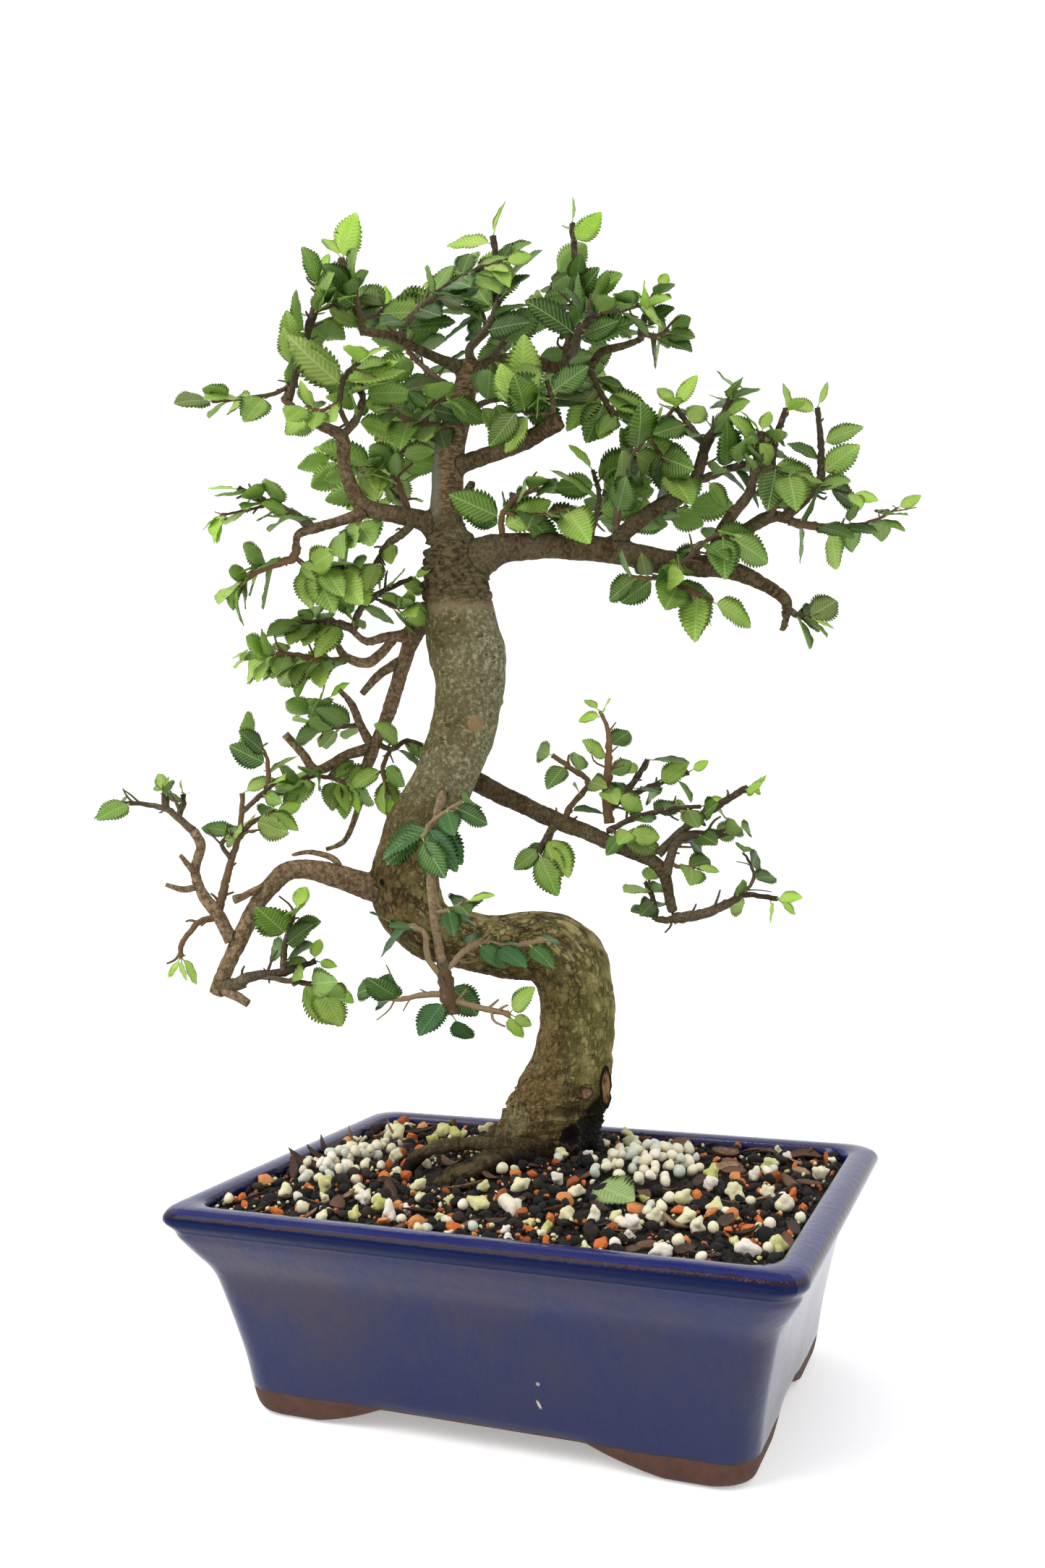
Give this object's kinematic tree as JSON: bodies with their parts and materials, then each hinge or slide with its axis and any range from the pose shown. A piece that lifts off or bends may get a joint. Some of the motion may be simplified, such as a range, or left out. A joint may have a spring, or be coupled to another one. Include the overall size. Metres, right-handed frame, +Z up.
{
  "type": "chinese elm bonsai",
  "caption": "Bent-trunk Chinese elm bonsai with leafy sprays, growing in soil in a rectangular glazed pot on four feet.",
  "frame": {"origin": "on the ground under the centre of the whole object's box", "axes": "+Z up, +X along the pot's long side, -Y out of the pot's front"},
  "size_m": [0.296, 0.2042, 0.454],
  "materials": {
    "glaze": "gloss",
    "screen_mesh": "matte",
    "substrate": "matte",
    "bark": "matte",
    "prills": "matte",
    "foliage": "satin"
  },
  "bodies": {
    "root": {"pot": "glaze", "drainage_screen": "screen_mesh", "soil": "substrate", "tree": "bark", "pellets_right": "prills", "pellets_left": "prills", "fallen_leaf": "foliage", "low_left_tip": "foliage", "low_left_curl": "foliage", "low_left_rise": "foliage", "low_left_in": "foliage", "mid_left_fore": "foliage", "mid_left_dark": "foliage", "mid_left_middle": "foliage", "mid_left_low": "foliage", "mid_left_side": "foliage", "upper_left_leader": "foliage", "upper_left_out": "foliage", "upper_left_drop": "foliage", "upper_left_hang": "foliage", "upper_left_inner": "foliage", "upper_left_grey": "foliage", "left_shoulder": "foliage", "crown_left_up": "foliage", "crown_front_long": "foliage", "crown_mid_up": "foliage", "crown_right_rise": "foliage", "crown_right_tip": "foliage", "crown_right_drop": "foliage", "crown_stub_twig": "foliage", "leader_right": "foliage", "leader_left": "foliage", "right_far_tip": "foliage", "right_far_up": "foliage", "right_fourth_up": "foliage", "right_mid_up": "foliage", "right_upper_tip": "foliage", "right_inner_rise": "foliage", "right_inner_small": "foliage", "right_near_collar": "foliage", "right_under": "foliage", "right_end": "foliage", "lower_right_end": "foliage", "lower_right_out": "foliage", "lower_right_arch": "foliage", "lower_right_long": "foliage", "lower_right_up": "foliage", "lower_right_inner": "foliage", "lower_right_hang": "foliage", "front_top": "foliage", "front_middle": "foliage", "front_knot": "foliage", "crown_back_left": "foliage", "crown_back_right": "foliage", "right_back": "foliage"}
  },
  "joints": []
}
